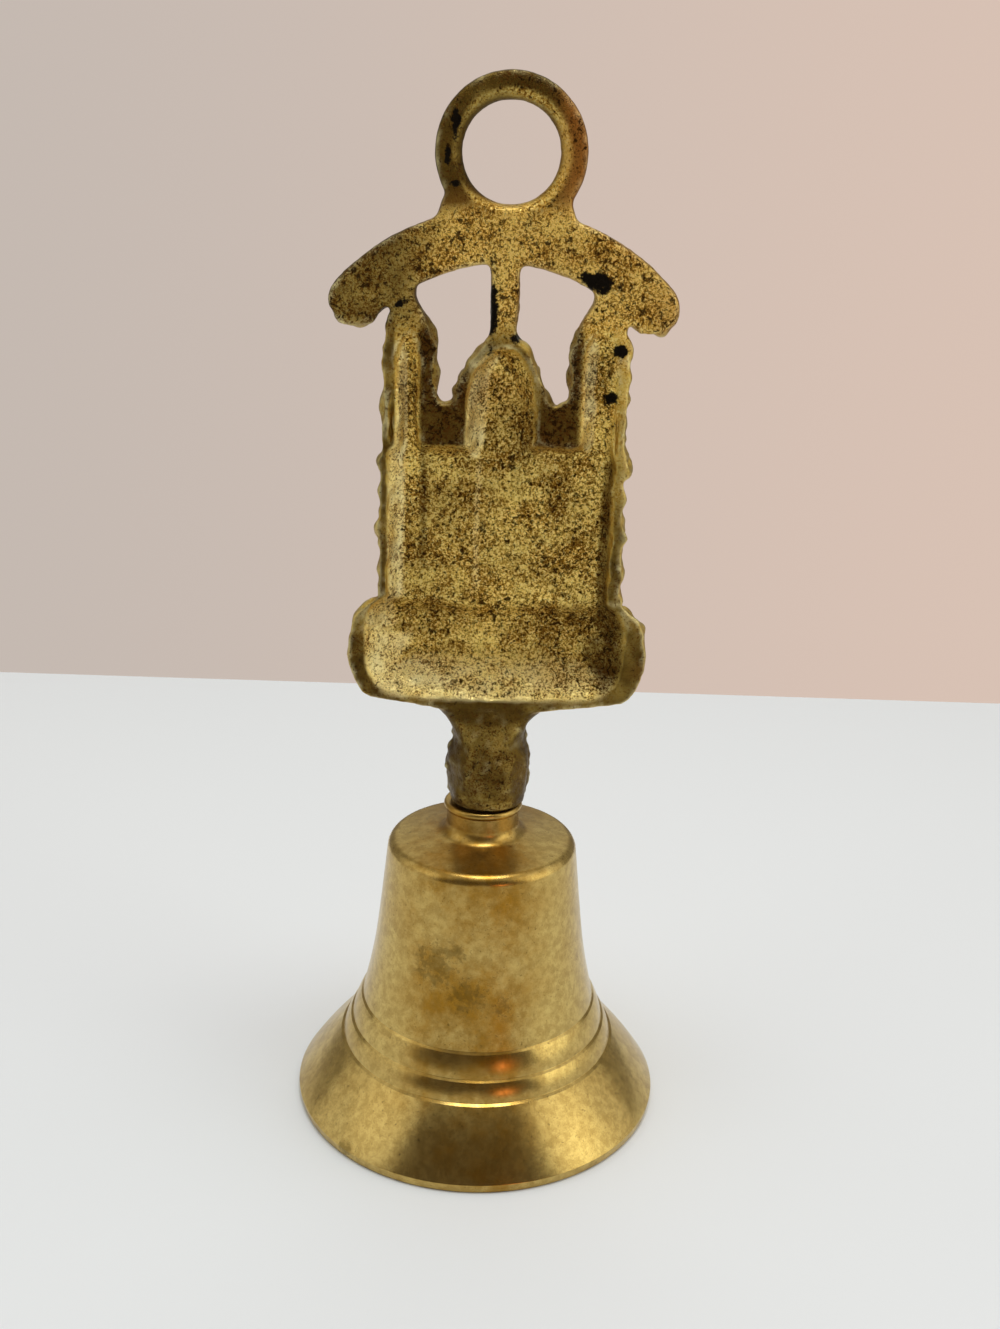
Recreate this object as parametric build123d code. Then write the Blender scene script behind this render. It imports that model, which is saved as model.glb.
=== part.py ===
"""Small cast-brass hand bell with a hanging ring on top of its handle.

Millimetres, Z up. The origin is where the bell's axis meets the table under the rim.
The handle is one open-backed casting: its hollow back faces -Y and its plain raised
front faces +Y. The clapper hangs from a wire ring in the tang of the handle's stud.
"""

from build123d import *
import os
from math import radians, sqrt, tan

os.makedirs("parts", exist_ok=True)

# Bell, outside, from the rim up
rim_radius = 27.5
rim_bevel = 0.3
rim_band_height = 1.3
flare_step_radius = 20.95
flare_step_height = 9.5
flare_sag = 0.25
lower_ledge_width = 0.45
lower_ledge_rise = 0.25
lower_band_height = 2.65
lower_band_draft = 1.05
upper_ledge_width = 0.35
upper_ledge_rise = 0.25
upper_band_height = 3.3
upper_band_draft = 1.25
top_ledge_width = 0.3
top_ledge_rise = 0.3
band_bow = 0.14
waist_low_radius = 16.27
waist_low_rise = 5.75
waist_mid_radius = 15.34
waist_mid_rise = 11.75
shoulder_radius = 13.95
waist_height = 24.25
shoulder_round_width = 1.4
shoulder_round_rise = 1.5
shoulder_face_rise = 0.95
cove_width = 1.5
cove_rise = 1.8
collar_radius = 5.3
collar_rise = 1.95
bead_radius = 5.74
bead_height = 1.1
seat_radius = 4.6
seat_depth = 0.4

# Bell, inside
rim_land_width = 2.2
bow_wall = 2.4
waist_wall = 2.0
bow_inner_height = 9.0
crown_wall = 2.0
crown_inner_round = 2.4

# Stud of the handle and the hole that it passes through
stud_radius = 2.5
stud_hole_clearance = 0.15
thread_clearance = 0.06
boss_radius = 4.3
neck_gap = 0.4

# Washer and hexagon nut that hold the handle from inside the crown
washer_radius = 5.5
washer_thickness = 1.0
nut_across_flats = 8.0
nut_height = 4.0
nut_chamfer = 0.4

# Tang at the stud's end, drilled crosswise for the ring of wire
tang_thickness = 2.4
tang_shoulder_drop = 0.5
tang_hole_drop = 2.8
tang_hole_radius = 1.1
tang_end_radius = 2.2

# Ring of wire that the clapper hangs from
wire_radius = 0.75
wire_ring_radius = 3.5
hanging_clearance = 0.06

# Clapper
eye_radius = 2.0
eye_wire_radius = 0.8
rod_radius = 0.9
ball_radius = 5.2
ball_height = 7.6
ball_bore_clearance = 0.02
rivet_radius = 1.5
rivet_height = 0.5
rivet_seat_depth = 0.25

# Handle casting: thicknesses and levels
back_y = -2.0
plate_thickness = 3.2
front_wall = 1.5
side_wall = 0.9
relief_root = 1.1
front_round = 0.8
back_edge_break = 0.25

# Each feature of the casting leans a little off the bell's axis
neck_x = 0.6
base_x = 1.35
panel_x = 1.45
window_x = 1.0
yoke_x = 0.9
ring_x = 1.3

# Neck
neck_bottom_radius = 5.35
neck_bulge_radius = 6.0
neck_bulge_rise = 5.6
neck_waist_radius = 4.9
neck_waist_rise = 9.6
neck_flare_half_width = 5.9
neck_flare_rise = 12.0
neck_top_half_width = 9.0
neck_top_rise = 14.6

# Base of the handle
base_bottom_rise = 13.2
base_half_width = 21.05
base_heel_half_width = 18.4
base_heel_rise = 2.4
base_heel_round = 2.5
base_belly_rise = 9.6
base_shoulder_half_width = 17.9
base_height = 16.6

# Panel and its two posts
panel_bottom_half_width = 16.9
panel_top_half_width = 16.3
panel_height = 30.5
panel_root = 4.2
post_head_half_width = 16.6
post_head_rise = 34.0
post_top_half_width = 15.2
post_top_rise = 40.0
bump_radius = 1.6
bump_reach = 0.7
bump_rises = (10.3, 19.4)

# Windows beside the middle bar
window_bottom_rise = 27.6
window_valley_radius = 1.35
window_side = 8.9
window_side_rise = 34.3
window_corner = 11.65
window_corner_rise = 41.0
window_top_rise = 46.5
post_flare_sag = 0.5
bar_half_width = 1.9
dome_side = 4.75
dome_side_rise = 32.6
dome_top_rise = 36.2

# Yoke, an arched bar with round ends
yoke_half_span = 19.4
yoke_end_rise = 40.6
yoke_arch = 8.5
yoke_width = 6.9
saddle_half_width = 9.6
saddle_top_half_width = 8.2
saddle_height = 4.6

# Hanging ring
ring_rise = 59.2
ring_outer_radius = 9.7
ring_hole_radius = 6.2
ring_hole_land = 1.0
ring_countersink = 1.4

# Hollows in the back: a flat field, three channels and the bowl of the base
field_depth = 2.4
field_draft = 18.0
field_margin = 1.05
field_right_margin = 1.0
field_top_drop = 5.4
field_foot = 2.0
channel_depth = 3.2
channel_draft = 14.0
tower_left_x = -11.85
tower_right_x = 14.1
tower_left_width = 4.2
tower_right_width = 5.2
tower_eave_drop = 0.8
tower_tip_rise = 35.0
tower_tip_width = 1.1
dome_channel_x = 0.75
dome_channel_half_width = 4.6
dome_channel_top_rise = 34.8
dome_channel_spring_drop = 6.9
bowl_depth = 4.4
bowl_draft = 20.0
bowl_margin = 1.9
bowl_bottom_margin = 1.9
bowl_heel_margin = 1.5

# Levels worked out from the values above
flare_top_radius = flare_step_radius - lower_ledge_width
lower_edge_radius = flare_top_radius - lower_band_draft
lower_edge_height = flare_step_height + lower_ledge_rise + lower_band_height
upper_foot_radius = lower_edge_radius - upper_ledge_width
upper_edge_radius = upper_foot_radius - upper_band_draft
upper_edge_height = lower_edge_height + upper_ledge_rise + upper_band_height
waist_foot_radius = upper_edge_radius - top_ledge_width
waist_foot_height = upper_edge_height + top_ledge_rise
shoulder_height = waist_foot_height + waist_height
shoulder_top = shoulder_height + shoulder_round_rise
cove_bottom = shoulder_top + shoulder_face_rise
cove_top = cove_bottom + cove_rise
bead_bottom = cove_top + collar_rise
bell_top_height = bead_bottom + bead_height
crown_inner_height = shoulder_top - crown_wall
collar_top = bell_top_height - seat_depth
neck_bottom = bell_top_height + neck_gap
base_bottom = neck_bottom + base_bottom_rise
base_top = base_bottom + base_height
front_y = back_y + plate_thickness
yoke_end = base_top + yoke_end_rise
ring_height = base_top + ring_rise
washer_bottom = crown_inner_height - washer_thickness
nut_bottom = washer_bottom - nut_height
tang_top = nut_bottom - tang_shoulder_drop
tang_hole_height = nut_bottom - tang_hole_drop
wire_ring_inside = wire_ring_radius - wire_radius
wire_sag = wire_ring_inside - sqrt(wire_ring_inside**2 - (tang_thickness / 2) ** 2)
wire_top = tang_hole_height - (tang_hole_radius - wire_radius - wire_sag - hanging_clearance)
wire_ring_height = wire_top - wire_ring_radius
wire_ring_foot = wire_ring_height - wire_ring_radius
eye_height = wire_ring_foot + wire_radius + hanging_clearance * 2 + eye_wire_radius - eye_radius


def upright(y):
    """Plane that faces the back of the bell at this depth; its own y axis is Z."""
    return Plane.XZ.offset(-y)


def slab(outline, back, front, taper=0.0):
    """Solid of an outline between two depths, narrowing towards the front."""
    return extrude(upright(back) * outline, amount=-(front - back), taper=taper)


def mirrored(points, centre):
    """Half an outline given from its foot up, closed by its mirror image."""
    right = [(centre + x, z) for x, z in points]
    left = [(centre - x, z) for x, z in reversed(points)]
    return right + left


def waist_arc(wall):
    """Lower part of the waist, where it spreads, moved inwards by a wall."""
    return ThreePointArc(
        (waist_foot_radius - wall, waist_foot_height),
        (waist_low_radius - wall, waist_foot_height + waist_low_rise),
        (waist_mid_radius - wall, waist_foot_height + waist_mid_rise),
    )


def bell_outside():
    """Edges of the bell's outer profile from the rim to the top of the collar."""
    waist = waist_arc(0)
    lower_foot = (flare_top_radius, flare_step_height + lower_ledge_rise)
    lower_edge = (lower_edge_radius, lower_edge_height)
    upper_foot = (upper_foot_radius, lower_edge_height + upper_ledge_rise)
    upper_edge = (upper_edge_radius, upper_edge_height)
    face_edge = (shoulder_radius - shoulder_round_width, shoulder_top)
    cove_foot = (collar_radius + cove_width, cove_bottom)
    collar_foot = (collar_radius, cove_top)
    return [
        Line((rim_radius - rim_bevel, 0), (rim_radius, rim_bevel)),
        Line((rim_radius, rim_bevel), (rim_radius, rim_band_height)),
        SagittaArc((rim_radius, rim_band_height), (flare_step_radius, flare_step_height), -flare_sag),
        Line((flare_step_radius, flare_step_height), lower_foot),
        SagittaArc(lower_foot, lower_edge, -band_bow),
        Line(lower_edge, upper_foot),
        SagittaArc(upper_foot, upper_edge, -band_bow),
        Line(upper_edge, (waist_foot_radius, waist_foot_height)),
        waist,
        Line(waist @ 1, (shoulder_radius, shoulder_height)),
        TangentArc((shoulder_radius, shoulder_height), face_edge, tangent=(0, 1)),
        Line(face_edge, cove_foot),
        TangentArc(collar_foot, cove_foot, tangent=(0, -1)),
        Line(collar_foot, (collar_radius, bead_bottom)),
        ThreePointArc(
            (collar_radius, bead_bottom),
            (bead_radius, bell_top_height - bead_height / 2),
            (collar_radius, bell_top_height),
        ),
    ]


def bell_solid():
    """The turned bell: its outer profile, its hollow, the rebated seat and the stud hole."""
    top = bell_top_height
    skin = bell_outside() + [
        Polyline((collar_radius, top), (0, top), (0, 0), (rim_radius - rim_bevel, 0)),
    ]
    inner_rim = rim_radius - rim_bevel - rim_land_width
    bow_inner = flare_step_radius - bow_wall
    waist_inner = waist_arc(waist_wall)
    crown_inner = shoulder_radius - waist_wall
    ceiling = crown_inner_height
    turn = crown_inner_round
    hollow = [
        Line((0, 0), (inner_rim, 0)),
        Line((inner_rim, 0), (bow_inner, bow_inner_height)),
        TangentArc(waist_inner @ 0, (bow_inner, bow_inner_height), tangent=-(waist_inner % 0)),
        waist_inner,
        Line(waist_inner @ 1, (crown_inner, ceiling - turn)),
        RadiusArc((crown_inner, ceiling - turn), (crown_inner - turn, ceiling), -turn),
        Polyline((crown_inner - turn, ceiling), (0, ceiling), (0, 0)),
    ]
    body = revolve(Plane.XZ * make_face(skin), Axis.Z)
    body -= revolve(Plane.XZ * make_face(hollow), Axis.Z)
    body -= Pos(0, 0, top - seat_depth) * Cylinder(
        seat_radius, seat_depth, align=(Align.CENTER, Align.CENTER, Align.MIN)
    )
    stud_hole = Cylinder(
        stud_radius + stud_hole_clearance, top, align=(Align.CENTER, Align.CENTER, Align.MIN)
    )
    return body - stud_hole


def base_outline():
    """The wide foot of the handle, with its rounded ends."""
    heel = (base_heel_half_width, base_bottom + base_heel_rise)
    belly = (base_half_width, base_bottom + base_belly_rise)
    shoulder = (base_shoulder_half_width, base_top)
    edges = [
        Line((0, base_bottom), heel),
        ThreePointArc(heel, belly, shoulder),
        Line(shoulder, (0, base_top)),
        Line((0, base_top), (0, base_bottom)),
    ]
    half = fillet(make_face(edges).vertices().sort_by_distance(heel)[0], base_heel_round)
    return Pos(base_x, 0) * (half + mirror(half, Plane.YZ))


def panel_outline():
    """The tall panel with the bumps on its edges and the heads of its two posts."""
    half = [
        (panel_bottom_half_width, base_top - panel_root),
        (panel_bottom_half_width, base_top),
        (panel_top_half_width, base_top + panel_height),
        (post_head_half_width, base_top + post_head_rise),
        (post_top_half_width, base_top + post_top_rise),
        (post_top_half_width, base_top + window_corner_rise + yoke_width / 2),
    ]
    panel = make_face(Polyline(*mirrored(half, panel_x), close=True))
    for rise in bump_rises:
        lean = (panel_bottom_half_width - panel_top_half_width) * rise / panel_height
        reach = panel_bottom_half_width - lean + bump_reach - bump_radius
        for side in (-1, 1):
            panel += Pos(panel_x + side * reach, base_top + rise) * Circle(bump_radius)
    return panel


def window_outline(side):
    """One window: middle bar, yoke, flared post, round valley and domed sill."""
    foot = base_top + window_bottom_rise
    valley_side = foot + window_valley_radius
    corner = (window_corner, base_top + window_corner_rise)
    post = (window_side, base_top + window_side_rise)
    valley_post = (window_side, valley_side)
    valley_bottom = (window_side - window_valley_radius, foot)
    valley_dome = (window_side - 2 * window_valley_radius, valley_side)
    dome_side_point = (dome_side, base_top + dome_side_rise)
    dome_top = (bar_half_width, base_top + dome_top_rise)
    crown = base_top + window_top_rise
    edges = [
        Line(dome_top, (bar_half_width, crown)),
        Line((bar_half_width, crown), (window_corner, crown)),
        Line((window_corner, crown), corner),
        SagittaArc(corner, post, -post_flare_sag),
        Line(post, valley_post),
        ThreePointArc(valley_post, valley_bottom, valley_dome),
        ThreePointArc(valley_dome, dome_side_point, dome_top),
    ]
    half = make_face(edges)
    return Pos(window_x, 0) * (half if side > 0 else mirror(half, Plane.YZ))


def field_hollow():
    """Flat field behind the panel."""
    left = panel_x - panel_bottom_half_width + field_margin
    right = panel_x + panel_top_half_width - field_right_margin
    low = base_top - field_foot
    high = base_top + window_bottom_rise - field_top_drop
    return make_face(Polyline((left, low), (right, low), (right, high), (left, high), close=True))


def tower_hollow(centre, width):
    """Channel behind one post, ending in a long point."""
    low = base_top - field_foot
    eave = base_top + window_bottom_rise - tower_eave_drop
    tip = base_top + tower_tip_rise
    half = [(width / 2, low), (width / 2, eave), (tower_tip_width / 2, tip)]
    return make_face(Polyline(*mirrored(half, centre), close=True))


def dome_hollow():
    """Channel behind the middle of the panel, with a round top."""
    low = base_top - field_foot
    top = base_top + dome_channel_top_rise
    spring = top - dome_channel_spring_drop
    left = (dome_channel_x - dome_channel_half_width, spring)
    right = (dome_channel_x + dome_channel_half_width, spring)
    edges = [
        Polyline(left, (left[0], low), (right[0], low), right),
        TangentArc(right, (dome_channel_x, top), tangent=(0, 1)),
        TangentArc(left, (dome_channel_x, top), tangent=(0, 1)),
    ]
    return make_face(edges)


def bowl_hollow():
    """The deepest hollow, behind the base."""
    heel = (base_heel_half_width - bowl_margin, base_bottom + base_heel_rise + bowl_heel_margin)
    belly = (base_half_width - bowl_margin, base_bottom + base_belly_rise)
    shoulder = (base_shoulder_half_width - bowl_margin, base_top - field_foot)
    edges = [
        Line((0, base_bottom + bowl_bottom_margin), heel),
        ThreePointArc(heel, belly, shoulder),
        Line(shoulder, (0, base_top - field_foot)),
        Line((0, base_top - field_foot), (0, base_bottom + bowl_bottom_margin)),
    ]
    half = fillet(make_face(edges).vertices().sort_by_distance(heel)[0], base_heel_round)
    return Pos(base_x, 0) * (half + mirror(half, Plane.YZ))


def relief(grow, start, extra_depth):
    """All the hollows as drafted solids; grown by the walls, they are the raised front."""
    hollows = [
        (field_hollow(), field_depth, field_draft),
        (tower_hollow(tower_left_x, tower_left_width), channel_depth, channel_draft),
        (tower_hollow(tower_right_x, tower_right_width), channel_depth, channel_draft),
        (dome_hollow(), channel_depth, channel_draft),
        (bowl_hollow(), bowl_depth, bowl_draft),
    ]
    body = Part()
    for outline, depth, draft in hollows:
        grown = offset(outline, grow, kind=Kind.INTERSECTION) if grow else outline
        body += slab(grown, start, back_y + depth + extra_depth, draft)
    return body


def ring_solid():
    """The hanging ring, countersunk on both sides of a short straight bore."""
    middle = back_y + plate_thickness / 2
    land = ring_hole_land / 2
    mouth = ring_hole_radius + ring_countersink
    section = Polyline(
        (mouth, back_y),
        (ring_outer_radius - back_edge_break, back_y),
        (ring_outer_radius, back_y + back_edge_break),
        (ring_outer_radius, front_y - front_round),
        (ring_outer_radius - front_round, front_y),
        (mouth, front_y),
        (ring_hole_radius, middle + land),
        (ring_hole_radius, middle - land),
        close=True,
    )
    spun = revolve(Plane.XY * make_face(section), Axis.Y)
    return Pos(ring_x, 0, ring_height) * spun


def yoke_solid():
    """The arched bar with its front edge rounded, and the saddle that carries the ring."""
    arc = ThreePointArc(
        (-yoke_half_span, yoke_end), (0, yoke_end + yoke_arch), (yoke_half_span, yoke_end)
    )
    bar = slab(Pos(yoke_x, 0) * SlotArc(arc, yoke_width), back_y, front_y)
    bar = fillet(bar.faces().sort_by(Axis.Y)[-1].edges(), front_round)
    low = yoke_end + yoke_arch
    half = [(saddle_half_width, low), (saddle_top_half_width, low + saddle_height)]
    saddle = slab(make_face(Polyline(*mirrored(half, yoke_x), close=True)), back_y, front_y)
    clear = Pos(ring_x, 0, ring_height) * Rot(90, 0, 0) * Cylinder(
        (ring_hole_radius + ring_outer_radius) / 2, 4 * plate_thickness
    )
    return bar + (saddle - clear)


def neck_solid():
    """Round neck that swells above the collar and spreads into the base."""
    low = neck_bottom
    waist = low + neck_waist_rise
    bulge = (neck_bulge_radius, low + neck_bulge_rise)
    outline = [
        Polyline((neck_waist_radius, waist), (0, waist), (0, low), (neck_bottom_radius, low)),
        TangentArc(bulge, (neck_bottom_radius, low), tangent=(0, -1)),
        TangentArc(bulge, (neck_waist_radius, waist), tangent=(0, 1)),
    ]
    barrel = Pos(neck_x, 0, 0) * revolve(Plane.XZ * make_face(outline), Axis.Z)
    top_depth = plate_thickness + front_wall
    top_middle = back_y + top_depth / 2
    foot = Plane.XY.offset(waist) * Pos(neck_x, 0) * Ellipse(neck_waist_radius, neck_waist_radius)
    flare = Plane.XY.offset(low + neck_flare_rise) * Pos(neck_x, top_middle / 2) * Ellipse(
        neck_flare_half_width, (neck_waist_radius + top_depth / 2) / 2
    )
    head = Plane.XY.offset(low + neck_top_rise) * Pos(neck_x, top_middle) * Ellipse(
        neck_top_half_width, top_depth / 2
    )
    return barrel + loft([foot, flare, head])


def stud_solid():
    """Boss that bears on the collar, stud through the crown and the drilled tang."""
    upright_from = (Align.CENTER, Align.CENTER, Align.MIN)
    boss = Pos(0, 0, collar_top) * Cylinder(
        boss_radius, neck_bottom - collar_top, align=upright_from
    )
    stud = Pos(0, 0, tang_top) * Cylinder(
        stud_radius, neck_bottom - tang_top, align=upright_from
    )
    tip = tang_hole_height - tang_end_radius
    blank = Pos(0, 0, tip) * Cylinder(stud_radius, tang_top - tip, align=upright_from)
    flats = Pos(0, 0, tip) * Box(
        tang_thickness, 2 * stud_radius, tang_top - tip, align=upright_from
    )
    round_end = Pos(0, 0, tang_hole_height) * Rot(0, 90, 0) * Cylinder(
        tang_end_radius, 2 * stud_radius
    )
    above = Pos(0, 0, tang_hole_height) * Box(
        2 * stud_radius, 2 * stud_radius, tang_top - tang_hole_height, align=upright_from
    )
    tang = blank & flats & (round_end + above)
    cross_hole = Pos(0, 0, tang_hole_height) * Rot(0, 90, 0) * Cylinder(
        tang_hole_radius, 4 * stud_radius
    )
    return boss + stud + (tang - cross_hole)


def handle_solid():
    """The whole handle casting, from the hanging ring down to the tang."""
    bar_foot = base_top + dome_top_rise - bar_half_width
    bar_top = yoke_end + yoke_arch
    bar = Pos(window_x, (bar_foot + bar_top) / 2) * Rectangle(2 * bar_half_width, bar_top - bar_foot)
    outline = base_outline() + panel_outline()
    outline -= window_outline(1)
    outline -= window_outline(-1)
    outline += bar
    plate = slab(outline, back_y, front_y)
    reach = back_y + bowl_depth + front_wall
    raised = relief(side_wall, back_y + relief_root, front_wall)
    raised = raised & slab(outline, back_y, reach + front_wall)
    body = plate + raised + neck_solid() + yoke_solid() + ring_solid()
    body -= relief(0, back_y, 0)
    return body + stud_solid()


def washer_solid():
    """Flat washer under the crown."""
    hole = stud_radius + stud_hole_clearance
    disc = Cylinder(washer_radius, washer_thickness) - Cylinder(hole, washer_thickness)
    return Pos(0, 0, washer_bottom + washer_thickness / 2) * disc


def nut_solid():
    """Hexagon nut with both ends chamfered down to its flats."""
    circle = nut_across_flats / sqrt(3)
    blank = extrude(RegularPolygon(circle, 6), amount=nut_height)
    ends = Cylinder(circle, nut_height, align=(Align.CENTER, Align.CENTER, Align.MIN))
    ends = chamfer(ends.edges(), length=nut_chamfer * tan(radians(30)), length2=nut_chamfer)
    bore = Cylinder(
        stud_radius + thread_clearance, nut_height, align=(Align.CENTER, Align.CENTER, Align.MIN)
    )
    return Pos(0, 0, nut_bottom) * ((blank & ends) - bore)


def wire_ring_solid():
    """Closed ring of round wire that hangs in the tang, in the plane of the handle."""
    return Pos(0, 0, wire_ring_height) * Rot(90, 0, 0) * Torus(wire_ring_radius, wire_radius)


def rod_solid():
    """Clapper rod: an eye at the top, a shoulderless rod and a riveted lower end."""
    eye = Pos(0, 0, eye_height) * Rot(0, 90, 0) * Torus(eye_radius, eye_wire_radius)
    foot = ball_height - ball_radius + rivet_seat_depth
    rod = Pos(0, 0, foot) * Cylinder(
        rod_radius, eye_height - eye_radius - foot, align=(Align.CENTER, Align.CENTER, Align.MIN)
    )
    rivet = Pos(0, 0, foot) * Cylinder(
        rivet_radius, rivet_height, align=(Align.CENTER, Align.CENTER, Align.MAX)
    )
    rivet = chamfer(rivet.edges().sort_by(Axis.Z)[0], rivet_height / 2)
    return eye + rod + rivet


def ball_solid():
    """Turned ball with its bore and the small flat that the rivet closes on."""
    ball = Pos(0, 0, ball_height) * Sphere(ball_radius)
    bore = Pos(0, 0, ball_height) * Cylinder(
        rod_radius + ball_bore_clearance, 2 * ball_radius
    )
    flat = Pos(0, 0, ball_height - ball_radius) * Cylinder(2 * rivet_radius, 2 * rivet_seat_depth)
    return ball - bore - flat


pieces = {
    "bell": bell_solid(),
    "handle": handle_solid(),
    "crown_washer": washer_solid(),
    "crown_nut": nut_solid(),
    "clapper_ring": wire_ring_solid(),
    "clapper_rod": rod_solid(),
    "clapper_ball": ball_solid(),
}
for name, piece in pieces.items():
    export_step(piece, f"parts/{name}.step")

print("ring of wire turns about", 0, 0, round(tang_hole_height, 3))
print("clapper swings about", 0, 0, round(wire_ring_height, 3))
print("hanging bore centre", ring_x, round(back_y + plate_thickness / 2, 3), round(ring_height, 3))
print("handle box", pieces["handle"].bounding_box())
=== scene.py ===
"""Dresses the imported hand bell: turned brass bell, sand-cast handle and hanging clapper.

Lengths inside the classes are in millimetres, as on a drawing, and become metres when a
mesh is made. Every piece lies where its solid lies, in the frame's own axes.
"""

from __future__ import annotations

import logging
import math
from dataclasses import dataclass, field
from enum import Enum
from typing import Sequence

import bmesh
import bpy
import numpy as np
from mathutils import Matrix, Vector, noise
from mathutils.bvhtree import BVHTree

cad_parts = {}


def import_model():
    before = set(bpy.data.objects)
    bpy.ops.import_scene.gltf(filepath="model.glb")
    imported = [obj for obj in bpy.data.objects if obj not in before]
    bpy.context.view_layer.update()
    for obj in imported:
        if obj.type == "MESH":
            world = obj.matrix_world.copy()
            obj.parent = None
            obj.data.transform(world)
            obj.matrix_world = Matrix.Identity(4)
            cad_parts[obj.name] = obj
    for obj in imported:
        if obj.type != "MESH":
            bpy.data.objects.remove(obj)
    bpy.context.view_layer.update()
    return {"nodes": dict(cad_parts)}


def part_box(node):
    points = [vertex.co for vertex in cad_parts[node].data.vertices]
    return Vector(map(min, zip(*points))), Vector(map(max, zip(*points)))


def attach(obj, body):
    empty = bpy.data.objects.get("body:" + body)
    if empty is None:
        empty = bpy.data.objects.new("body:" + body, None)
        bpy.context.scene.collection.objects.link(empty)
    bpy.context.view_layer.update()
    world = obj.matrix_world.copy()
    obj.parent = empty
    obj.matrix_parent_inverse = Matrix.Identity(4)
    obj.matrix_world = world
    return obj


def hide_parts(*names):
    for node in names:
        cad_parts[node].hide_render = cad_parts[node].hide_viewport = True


LOG = logging.getLogger("hand_bell")
MM = 0.001
# Names of the handle's masks: tarnish, stains, copper tint, fewer pits and rubbed edges, together with
# painted light and shade.
WEAR_AND_LIGHT = ("tarnish_and_shade", "stain", "copper", "smoothness_and_light", "worn_and_lit")
GRAIN_SEED = (3.1, 7.7, 1.9)

Point = tuple[float, float]
Corner = tuple[float, float, float]
Colour = tuple[float, float, float, float]
Values = np.ndarray
Material = bpy.types.Material
Mesh = bpy.types.Mesh
Object = bpy.types.Object
Socket = bpy.types.NodeSocket


class Body(Enum):
    """Rigid bodies that the new pieces ride on."""

    BELL = "bell"
    RING = "clapper_ring"


class Slot(Enum):
    """Material slots, whose values name the materials."""

    TURNED = "turned_brass"
    CAST = "cast_brass"
    STEEL = "plain_steel"
    BALL = "ball_brass"


def srgb(red: int, green: int, blue: int) -> Colour:
    """Turns an 8-bit screen colour into the linear colour that shaders take.

    Args:
        red: Red, 0 to 255.
        green: Green, 0 to 255.
        blue: Blue, 0 to 255.

    Returns:
        Linear red, green, blue and an alpha of one.
    """
    def channel(value: int) -> float:
        """Linear value of one channel."""
        v = value / 255
        return v / 12.92 if v <= 0.04045 else ((v + 0.055) / 1.055) ** 2.4

    return (channel(red), channel(green), channel(blue), 1.0)


def smooth_step(low: float, high: float, values: Values) -> Values:
    """Soft step from 0 at low to 1 at high; low may be the larger of the two."""
    t = np.clip((values - low) / (high - low), 0.0, 1.0)
    return t * t * (3.0 - 2.0 * t)


# Node groups and materials


class Tree:
    """Short way to build a node tree.

    Args:
        tree: The tree to fill.
    """

    def __init__(self, tree: bpy.types.NodeTree) -> None:
        self.tree = tree

    def node(self, kind: str, **values: object) -> bpy.types.Node:
        """Adds a node and sets its properties.

        Args:
            kind: Blender's name of the node type.
            values: Properties of the node, by name.

        Returns:
            The new node.
        """
        made = self.tree.nodes.new(kind)
        for name, value in values.items():
            setattr(made, name, value)
        return made

    def link(self, source: Socket, target: Socket) -> None:
        """Joins two sockets."""
        self.tree.links.new(source, target)

    def feed(self, target: Socket, value: object) -> None:
        """Links a socket, or sets a plain value on it.

        Args:
            target: The input socket.
            value: An output socket, or a number, vector or colour.
        """
        if isinstance(value, Socket):
            self.link(value, target)
        else:
            target.default_value = value

    def noise(self, vector: object, scale: object, detail: float, roughness: float = 0.55,
              distortion: float = 0.0) -> Socket:
        """Grey noise on a vector.

        Args:
            vector: Where the noise is read.
            scale: Features per metre.
            detail: Octaves.
            roughness: Strength of the finer octaves.
            distortion: How far the noise twists itself.

        Returns:
            The noise value, about 0.5 on average.
        """
        made = self.node("ShaderNodeTexNoise")
        for name, value in (("Vector", vector), ("Scale", scale), ("Detail", detail),
                            ("Roughness", roughness), ("Distortion", distortion)):
            self.feed(made.inputs[name], value)
        return made.outputs["Fac"]

    def range(self, value: object, low: object, high: object, to_low: float = 0.0,
              to_high: float = 1.0) -> Socket:
        """Maps a value smoothly from one range to another, clamped at both ends."""
        made = self.node("ShaderNodeMapRange", interpolation_type="SMOOTHSTEP")
        for name, item in (("Value", value), ("From Min", low), ("From Max", high),
                           ("To Min", to_low), ("To Max", to_high)):
            self.feed(made.inputs[name], item)
        return made.outputs["Result"]

    def edge(self, value: object, level: object, width: object, to_low: float = 0.0,
             to_high: float = 1.0) -> Socket:
        """Smooth change from one value to another round a level, as wide to either side."""
        return self.range(value, self.math("SUBTRACT", level, width), self.math("ADD", level, width),
                          to_low, to_high)

    def math(self, operation: str, first: object, second: object = 0.0) -> Socket:
        """One step of arithmetic, clamped to 0 to 1 when the operation ends in a bang."""
        made = self.node("ShaderNodeMath", operation=operation.rstrip("!"))
        made.use_clamp = operation.endswith("!")
        self.feed(made.inputs[0], first)
        self.feed(made.inputs[1], second)
        return made.outputs[0]

    def times(self, first: object, second: object) -> Socket:
        """Product of two values."""
        return self.math("MULTIPLY", first, second)

    def weighed(self, first: object, share: float, second: object, rest: float) -> Socket:
        """Sum of two values, each times its share."""
        return self.math("ADD", self.times(first, share), self.times(second, rest))

    def mix(self, factor: object, first: object, second: object, **how: object) -> Socket:
        """Blends two colours; how sets other properties of the node."""
        made = self.node("ShaderNodeMix", **{"data_type": "RGBA", "clamp_factor": True, **how})
        for index, value in (("Factor", factor), (6, first), (7, second)):
            self.feed(made.inputs[index], value)
        return made.outputs[2]


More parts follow.
